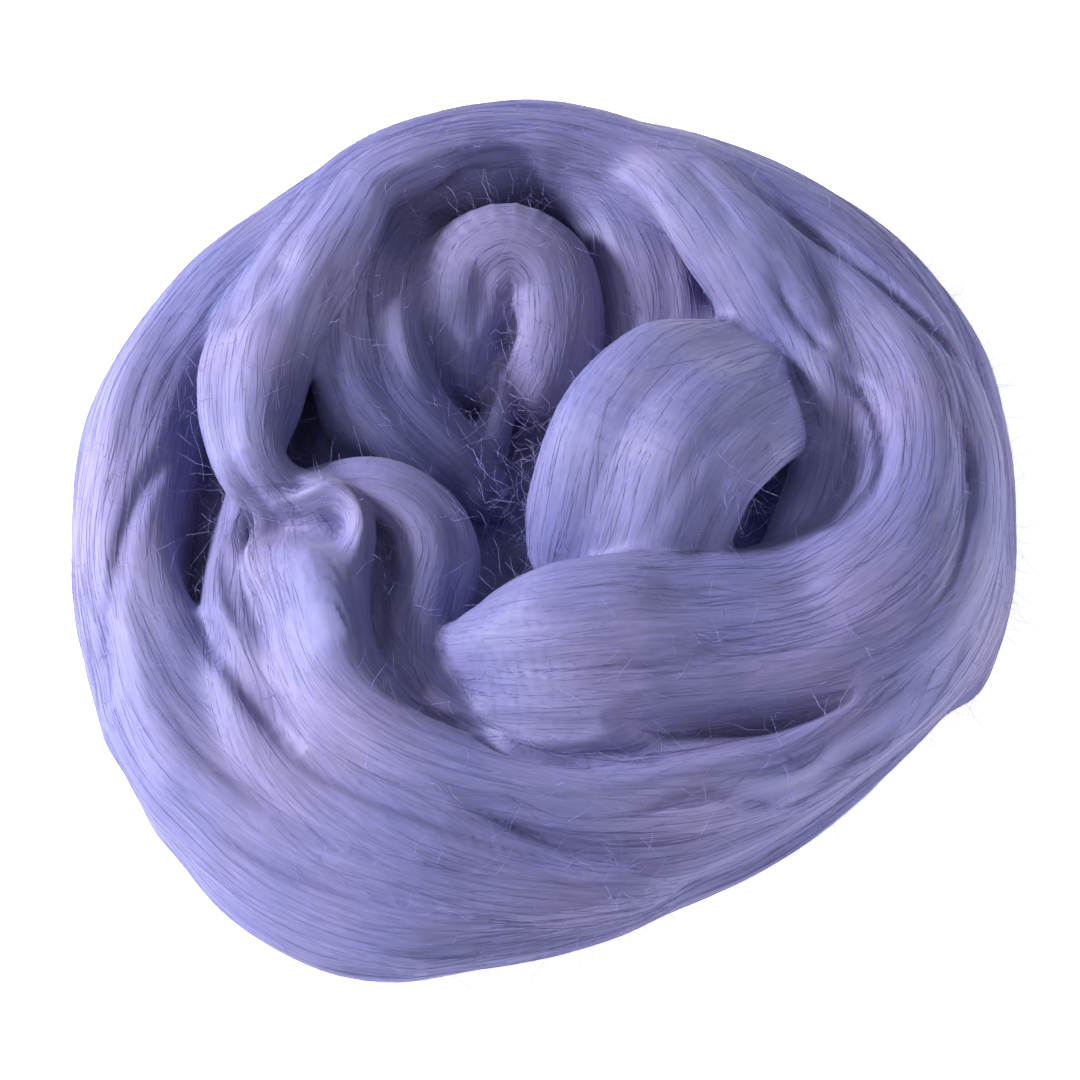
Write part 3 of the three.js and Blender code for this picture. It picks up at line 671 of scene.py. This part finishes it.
def edge_quads(inside, numbers, axis):
    """Quads round the field's edges along one axis that the surface crosses."""
    aside, onward = np.eye(3, dtype=int)[[(axis + 1) % 3, (axis + 2) % 3]]
    low = [slice(1, -1)] * 3
    low[axis] = slice(0, -1)
    high = list(low)
    high[axis] = slice(1, None)
    before, after = inside[tuple(low)], inside[tuple(high)]
    shift = np.ones(3, int)
    shift[axis] = 0
    quads = []
    for met, order in ((before & ~after, (0, 1, 2, 3)), (~before & after, (3, 2, 1, 0))):
        edge = np.argwhere(met) + shift
        around = (edge - aside - onward, edge - onward, edge, edge - aside)
        quads.append(np.stack([numbers[tuple(around[corner].T)] for corner in order], axis=-1))
    return np.concatenate(quads)


def on_lap(line, along, turn):
    """Points on a lap's plain section at distances along it and angles round it."""
    row = between(line["rows"], along / line["step"])
    sideways = (np.cos(turn + UNDERSIDE) * row[..., WIDE] / 2)[..., None]
    upwards = (np.sin(turn + UNDERSIDE) * row[..., THICK] / 2)[..., None]
    return row[..., :3] + sideways * row[..., ACROSS] + upwards * row[..., ABOVE]


def upper_area(line):
    """Area of the upper part of a lap, in square millimetres."""
    return line["length"] * line["radius"] * UPPER_GIRTH


def fibres(values, line, rng):
    """Fibres that lie along one lap, where it shows: points, normals, radius and tone of each."""
    count = int(upper_area(line) / FIBRE_AREA)
    share = np.linspace(-0.5, 0.5, FIBRE_POINTS)[None, :]
    longest = LONGEST_SHARE * line["length"]
    own_length = np.minimum(rng.uniform(*FIBRE_LENGTH, count), longest)[:, None]
    start = rng.uniform(0, line["length"], count)[:, None]
    turn = rng.uniform(*np.radians(FIBRE_TURN), count)[:, None]
    slant = rng.normal(0, FIBRE_SLANT, count)[:, None]
    slant *= np.where(rng.random((count, 1)) < CROSSING_SHARE, CROSSING_SLANT, 1.0)
    bow = rng.normal(0, FIBRE_BOW, count)[:, None]
    along = np.clip(start + own_length * share, LAP_MARGIN, line["length"] - LAP_MARGIN)
    points = on_lap(line, along, turn + slant * share + bow * np.cos(math.pi * share))
    seen = (value_at(values, points) > -DEEPEST_SHOWN).mean(axis=1) > SHOWN_SHARE
    points, normals = settled(values, points[seen])
    share = np.broadcast_to(share, points.shape[:2])
    rise = rng.uniform(0.0, FIBRE_RISE, len(points))[:, None] ** 1.5
    lift = rise * np.cos(math.pi * share) + FIBRE_LIFT - END_SINK * np.abs(2 * share) ** 4
    radius = rng.uniform(*FIBRE_RADIUS, len(points))[:, None] * (1 - np.abs(2 * share) ** 3 * END_TAPER)
    return points + normals * lift[..., None], normals, radius, rng.random(len(points))


def curled(rng, root, heading, length, curl):
    """Hairs that start at roots along headings and bend at random."""
    count = len(root)
    steps = STRAY_POINTS - 1
    bend = np.cumsum(rng.normal(0, curl, (count, steps, 3)), axis=1) + rng.normal(0, curl, (count, 1, 3))
    ahead = unit(heading[:, None] + bend) * (length / steps)[:, None, None]
    return np.concatenate([root[:, None], root[:, None] + np.cumsum(ahead, axis=1)], axis=1)


def strays(values, line, rng):
    """Stray hairs that leave one lap and curl off it."""
    count = int(upper_area(line) / STRAY_AREA)
    along = rng.uniform(0, line["length"], count)
    turn = rng.uniform(*np.radians(STRAY_TURN), count)
    root = on_lap(line, along, turn)
    seen = value_at(values, root) > -DEEPEST_SHOWN
    tip = on_lap(line, along + STRAY_AHEAD, turn)[seen]
    root, normal = settled(values, root[seen])
    forwards = unit(tip - root) * np.where(rng.random(len(root)) < 0.5, 1, -1)[:, None]
    yaw = rng.normal(0, STRAY_YAW, len(root))[:, None]
    forwards = forwards * np.cos(yaw) + np.cross(normal, forwards) * np.sin(yaw)
    lean = np.radians(rng.uniform(*STRAY_LEAN, len(root)))[:, None]
    heading = forwards * np.cos(lean) + normal * np.sin(lean)
    length = rng.uniform(*STRAY_LENGTH, len(root))
    points = curled(rng, root - ROOT_DEPTH * normal, heading, length, STRAY_CURL)
    return finished_hairs(rng, points)


def bridge_hairs(rng):
    """Hairs that hang over the hollows between the laps."""
    found = []
    for middle, spread, count in HOLLOWS:
        root = np.array(middle) + rng.normal(0, 1, (count, 3)) * (*spread, BRIDGE_SCATTER)
        turn = rng.uniform(0, 2 * math.pi, count)
        heading = np.stack([np.cos(turn), np.sin(turn), rng.normal(0, BRIDGE_SLOPE, count)], axis=-1)
        length = rng.uniform(*BRIDGE_LENGTH, count)
        found.append(curled(rng, root, unit(heading), length, BRIDGE_CURL))
    return finished_hairs(rng, np.concatenate(found))


def finished_hairs(rng, points):
    """Normals, radius and tone for hairs, leaving out any that reach too far from the nest."""
    points[..., 2] = np.maximum(points[..., 2], LOWEST_STRAY)
    reach_out = np.abs(points - (*MIDDLE[:2], 0.0)).max(axis=1)
    points = points[np.all(reach_out < STRAY_BOX, axis=1)]
    normals = np.broadcast_to(STRAY_FACING, points.shape)
    share = np.linspace(0, 1, STRAY_POINTS)[None, :]
    radius = rng.uniform(*STRAY_RADIUS, len(points))[:, None] * (1 - STRAY_TAPER * share**3)
    return points, normals, radius, rng.random(len(points))


def to_frame(points):
    """Millimetres in the tables' coordinates as metres in the frame's."""
    return (points.reshape(-1, 3) - MIDDLE) * MM


def build_object(name, points, loops, starts, material):
    """Mesh object from flat arrays: points in metres, corner indices and the first corner of each face."""
    mesh = bpy.data.meshes.new(name)
    mesh.vertices.add(len(points))
    mesh.vertices.foreach_set("co", points.astype(np.float32).ravel())
    mesh.loops.add(len(loops))
    mesh.loops.foreach_set("vertex_index", loops.astype(np.int32))
    mesh.polygons.add(len(starts))
    mesh.polygons.foreach_set("loop_start", starts.astype(np.int32))
    mesh.update(calc_edges=True)
    mesh.shade_smooth()
    mesh.materials.append(material)
    made = bpy.data.objects.new(name, mesh)
    bpy.context.scene.collection.objects.link(made)
    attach(made, "root")
    return made


RUN_UNIT = 100.0      # length of one unit of the surface's coordinates
RUN_SHIFT = (3.7, 1.9)  # from one lap to the next, so that no two have the same streaks


def fibre_run(lines, points, quads, laps):
    """Corner coordinates of the surface: u round each lap and v along it."""
    run = np.zeros((len(quads), 4, 2))
    for number in np.unique(laps):
        own = laps == number
        corners = points[quads[own]].reshape(-1, 3)
        if number == len(lines):
            u = np.hypot(corners[:, 0], corners[:, 1])
            v = BED_RUN * np.arctan2(corners[:, 1], corners[:, 0])
        else:
            _, v, turn, _ = lap_coordinates(lines[number], corners)
            u = turn * lines[number]["radius"]
        shifted = [length / RUN_UNIT + shift * number for length, shift in zip((u, v), RUN_SHIFT)]
        run[own] = np.stack(shifted, axis=-1).reshape(-1, 4, 2)
    return run


def surface_objects(field, lines, material):
    """The nest's surface in quarters, seamless where they meet."""
    points, quads = surface_net(field["value"])
    points, normals = settled(field["value"], points, 1)
    points[:, 2] = np.maximum(points[:, 2], 0.0)
    spots = np.round((points - FIELD_LOW) / CELL).astype(int)
    laps = field["lap"][tuple(spots.T)][quads[:, 0]]
    run = fibre_run(lines, points, quads, laps)
    middles = points[quads].mean(axis=1)
    quarter = (middles[:, 0] > 0) + 2 * (middles[:, 1] > 0)
    for number, name in enumerate(("front_left", "front_right", "back_left", "back_right")):
        own = quads[quarter == number]
        used, corners = np.unique(own, return_inverse=True)
        starts = np.arange(0, own.size, 4)
        made = build_object("surface_" + name, to_frame(points[used]), corners.ravel(), starts, material)
        layer = made.data.uv_layers.new(name="fibre_run")
        layer.uv.foreach_set("vector", run[quarter == number].astype(np.float32).ravel())
        made.data.normals_split_custom_set_from_vertices(normals[used])
        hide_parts("roving")


def tube_faces(rows, columns):
    """Corners of a closed tube: four for each quad, then one ring for each end."""
    row, column = np.meshgrid(np.arange(rows - 1), np.arange(columns), indexing="ij")
    here, aside = row * columns + column, row * columns + (column + 1) % columns
    quads = np.stack([here, here + columns, aside + columns, aside], axis=-1).ravel()
    first = np.arange(columns)
    last = (rows - 1) * columns + np.arange(columns)[::-1]
    starts = np.concatenate([np.arange(0, len(quads), 4), [len(quads), len(quads) + columns]])
    return np.concatenate([quads, first, last]), starts


def strands_object(name, parts, material):
    """Thin closed strands of three sides, tapered at their ends, in one object."""
    points, normals, radius, tone = parts
    count, steps = points.shape[:2]
    tangent = unit(np.gradient(points, axis=1))
    side = unit(np.cross(tangent, normals))
    lift = np.cross(side, tangent)
    turns = np.radians((90, 210, 330))
    ring = side[:, :, None] * np.cos(turns)[:, None] + lift[:, :, None] * np.sin(turns)[:, None]
    corners = points[:, :, None] + ring * radius[:, :, None, None]
    corners[..., 2] = np.maximum(corners[..., 2], LOWEST_STRAND)
    loops, starts = tube_faces(steps, 3)
    shift = np.arange(count)[:, None]
    loops_all = (loops[None] + shift * steps * 3).ravel()
    starts_all = (starts[None] + shift * len(loops)).ravel()
    made = build_object(name, to_frame(corners), loops_all, starts_all, material)
    attribute = made.data.attributes.new("tone", "FLOAT", "POINT")
    attribute.data.foreach_set("value", np.repeat(tone, steps * 3).astype(np.float32))
    return made


def node(tree, kind, **values):
    """New shader node with its properties set."""
    made = tree.nodes.new(kind)
    for name, value in values.items():
        setattr(made, name, value)
    return made


def feed(tree, item, values):
    """Sets a node's own sockets to values, or links them to the outputs of other nodes."""
    for name, value in values.items():
        if isinstance(value, bpy.types.NodeSocket):
            tree.links.new(value, item.inputs[name])
        else:
            item.inputs[name].default_value = value


def ranged(tree, value, low, high, from_low=0.0, from_high=1.0):
    """A value moved from one range to another."""
    mapped = node(tree, "ShaderNodeMapRange")
    ends = {"From Min": from_low, "From Max": from_high, "To Min": low, "To Max": high}
    feed(tree, mapped, {"Value": value, **ends})
    return mapped.outputs["Result"]


def noise(tree, vector, scale, detail, roughness=0.5):
    """Noise over a vector."""
    texture = node(tree, "ShaderNodeTexNoise")
    feed(tree, texture, {"Vector": vector, "Scale": scale, "Detail": detail, "Roughness": roughness})
    return texture.outputs["Fac"]


def stretched(tree, vector, scale):
    """A vector scaled by different amounts along its axes."""
    mapping = node(tree, "ShaderNodeMapping")
    feed(tree, mapping, {"Vector": vector, "Scale": scale})
    return mapping.outputs["Vector"]


# Dyed viscose, as linear colours: the blue and the rosier lavender that it drifts between
BLUE_LAVENDER = (0.16, 0.168, 0.405, 1)
ROSE_LAVENDER = (0.215, 0.195, 0.405, 1)
PATCH_NOISE = (22.0, 3.0)     # scale and detail
PATCH_RANGE = (0.36, 0.66)    # part of the noise over which they mix


def dye(tree, tone):
    """Colour that drifts between the two lavenders over the nest, lighter or darker by a tone."""
    where = node(tree, "ShaderNodeTexCoord").outputs["Object"]
    patches = noise(tree, where, *PATCH_NOISE)
    share = ranged(tree, patches, 0.0, 1.0, *PATCH_RANGE)
    mix = node(tree, "ShaderNodeMix", data_type="RGBA")
    feed(tree, mix, {0: share, 6: BLUE_LAVENDER, 7: ROSE_LAVENDER})
    product = node(tree, "ShaderNodeVectorMath", operation="SCALE")
    feed(tree, product, {0: mix.outputs[2], "Scale": tone})
    return product.outputs["Vector"]


def new_material(name):
    """Material with an empty principled shader."""
    material = bpy.data.materials.new(name)
    material.use_nodes = True
    tree = material.node_tree
    shader = next(item for item in tree.nodes if item.type == "BSDF_PRINCIPLED")
    return material, tree, shader


# Streaks along the fibre: how often they repeat round a lap and along it, for each unit of the coordinates
FINE_STREAKS = (125, 9, 1)
BROAD_STREAKS = (45, 1.6, 1)
FINE_NOISE = (1.0, 3.0, 0.7)   # scale, detail and roughness
BROAD_NOISE = (1.0, 4.0, 0.6)
STREAK_RANGE = (0.3, 0.7)      # part of the fine noise that spans the tones
STREAK_TONE = (0.8, 1.17)
STREAK_BUMP = 0.09
STREAK_HEIGHT = 0.0006
LAP_ROUGHNESS = (0.5, 0.75)
LAP_SHEEN = {
    "Anisotropic": 0.6,
    "Specular IOR Level": 0.45,
    "Sheen Weight": 0.12,
    "Sheen Roughness": 0.45,
}
FIBRE_ROUGHNESS, STRAY_ROUGHNESS = 0.45, 0.5
STRAND_SPECULAR = 0.3


def lap_material():
    """Combed fibre seen as a surface: streaks along the lap in colour, gloss and height."""
    material, tree, shader = new_material("viscose_laps")
    run = node(tree, "ShaderNodeUVMap", uv_map="fibre_run").outputs["UV"]
    fine = noise(tree, stretched(tree, run, FINE_STREAKS), *FINE_NOISE)
    broad = noise(tree, stretched(tree, run, BROAD_STREAKS), *BROAD_NOISE)
    heights = node(tree, "ShaderNodeMath", operation="ADD")
    feed(tree, heights, {0: fine, 1: broad})
    bump = node(tree, "ShaderNodeBump")
    height = heights.outputs["Value"]
    feed(tree, bump, {"Strength": STREAK_BUMP, "Distance": STREAK_HEIGHT, "Height": height})
    tangent = node(tree, "ShaderNodeTangent", direction_type="UV_MAP", uv_map="fibre_run")
    feed(tree, shader, {
        "Base Color": dye(tree, ranged(tree, fine, *STREAK_TONE, *STREAK_RANGE)),
        "Roughness": ranged(tree, broad, *LAP_ROUGHNESS),
        "Normal": bump.outputs["Normal"],
        "Tangent": tangent.outputs["Tangent"],
        **LAP_SHEEN,
    })
    return material


def strand_material(name, tones, roughness):
    """Single fibres: each has its own tone of the dye, which for the stray hairs is also lightened as
    painted light.
    """
    material, tree, shader = new_material(name)
    tone = node(tree, "ShaderNodeAttribute", attribute_name="tone").outputs["Fac"]
    feed(tree, shader, {
        "Base Color": dye(tree, ranged(tree, tone, *tones)),
        "Roughness": roughness,
        "Specular IOR Level": STRAND_SPECULAR,
    })
    return material


FLOOR_CORNERS = ((-1, -1), (1, -1), (1, 1), (-1, 1))
FLOOR_REACH = 3.0
FLOOR_DROP = 0.0003   # the floor is this far under the nest, so that the two don't flicker
FLOOR_GLOW = 0.7      # the pale surface is lit through from below, as on a light table


def floor():
    """Plain pale surface under the nest."""
    corners = [(x * FLOOR_REACH, y * FLOOR_REACH, -FLOOR_DROP) for x, y in FLOOR_CORNERS]
    mesh = bpy.data.meshes.new("floor")
    mesh.from_pydata(corners, [], [(0, 1, 2, 3)])
    made = bpy.data.objects.new("floor", mesh)
    bpy.context.scene.collection.objects.link(made)
    material, tree, shader = new_material("pale_floor")
    feed(tree, shader, {
        "Base Color": (0.93, 0.93, 0.93, 1),
        "Roughness": 0.9,
        "Emission Color": (1, 1, 1, 1),
        "Emission Strength": FLOOR_GLOW,
    })
    mesh.materials.append(material)


def area_light(name, place, target, size, power, colour):
    """Soft square light that faces a target."""
    data = bpy.data.lights.new(name, "AREA")
    data.size = size
    data.energy = power
    data.color = colour
    made = bpy.data.objects.new(name, data)
    made.location = place
    made.rotation_euler = (Vector(target) - Vector(place)).to_track_quat("-Z", "Y").to_euler()
    bpy.context.scene.collection.objects.link(made)


# Lights: place and target, length of a side, power in watts and colour
LIGHTS = {
    "key": ((-1.26, 0.26, 0.77), (0, 0, 0.03), 0.3, 38.5, (1.0, 0.98, 0.96)),
    "right_rim": ((1.3, 0.1, 0.1), (0.1, 0, 0.04), 0.25, 10.0, (1.0, 1.0, 1.0)),
    "front_fill": ((-0.7, -1.15, 0.6), (0, 0, 0.03), 0.9, 6.5, (0.97, 0.98, 1.0)),
}
SURROUNDINGS = 0.3    # strength of the pale light from all round


def lights():
    """Pale surroundings, a key light from behind on the left and two weak ones."""
    world = bpy.data.worlds.new("studio")
    world.use_nodes = True
    tree = world.node_tree
    feed(tree, tree.nodes["Background"], {"Color": (1.0, 1.0, 1.0, 1), "Strength": SURROUNDINGS})
    bpy.context.scene.world = world
    for name, values in LIGHTS.items():
        area_light(name, *values)


# The photograph's camera: 60 degrees above the surface, straight in front
CAMERA_ELEVATION = 60.0
CAMERA_DISTANCE = 1000.0
CAMERA_TARGET = np.array([0.0, 0.0, 25.0])
FIELD_WIDTH = 284.0   # what the image spans at the target
SENSOR_WIDTH = 36.0


def camera():
    """Camera at the photograph's viewing angle."""
    data = bpy.data.cameras.new("camera")
    data.sensor_width = SENSOR_WIDTH
    data.lens = SENSOR_WIDTH * CAMERA_DISTANCE / FIELD_WIDTH
    made = bpy.data.objects.new("camera", data)
    elevation = math.radians(CAMERA_ELEVATION)
    back = np.array([0.0, -math.cos(elevation), math.sin(elevation)]) * CAMERA_DISTANCE
    place, target = to_frame(np.array([CAMERA_TARGET + back, CAMERA_TARGET]))
    made.location = place
    made.rotation_euler = (Vector(target) - Vector(place)).to_track_quat("-Z", "Y").to_euler()
    bpy.context.scene.collection.objects.link(made)
    bpy.context.scene.camera = made


def join(parts):
    """Several sets of strands as one."""
    return [np.concatenate(values) for values in zip(*parts)]


# Groups of laps whose fibres are in one piece
PIECES = {
    "outer": ("base_back", "base_front", "right_outer", "outer_left"),
    "back": ("back_rim", "back_inner", "fan"),
    "left": ("left_second", "left_inner", "ribbon", "ribbon_shoulder"),
    "front": ("right_second", "right_third", "front_top", "front_middle", "hook"),
    "middle": (
        "under_left", "under_right", "hollow_left", "inner_left_a", "inner_left_b",
        "ear", "ear_tongue", "dome",
    ),
}


def roving():
    """The whole nest: its surface, the fibres that lie on it and the stray hairs."""
    rng = np.random.default_rng(SEED)
    lines = [lap_line(table, rng) for table in LAPS.values()]
    field = nest_field(lines)
    surface_objects(field, lines, lap_material())
    strand = strand_material("viscose_strands", FIBRE_TONE, FIBRE_ROUGHNESS)
    hair = strand_material("viscose_hairs", STRAY_PAINTED_LIGHTNESS, STRAY_ROUGHNESS)
    for piece, names in PIECES.items():
        own = [lines[list(LAPS).index(name)] for name in names]
        strands_object("fibres_" + piece, join([fibres(field["value"], line, rng) for line in own]), strand)
    loose = [strays(field["value"], line, rng) for line in lines]
    strands_object("stray_hairs", join(loose + [bridge_hairs(rng)]), hair)


roving()
floor()
lights()
camera()
bpy.context.scene.view_settings.view_transform = "Standard"
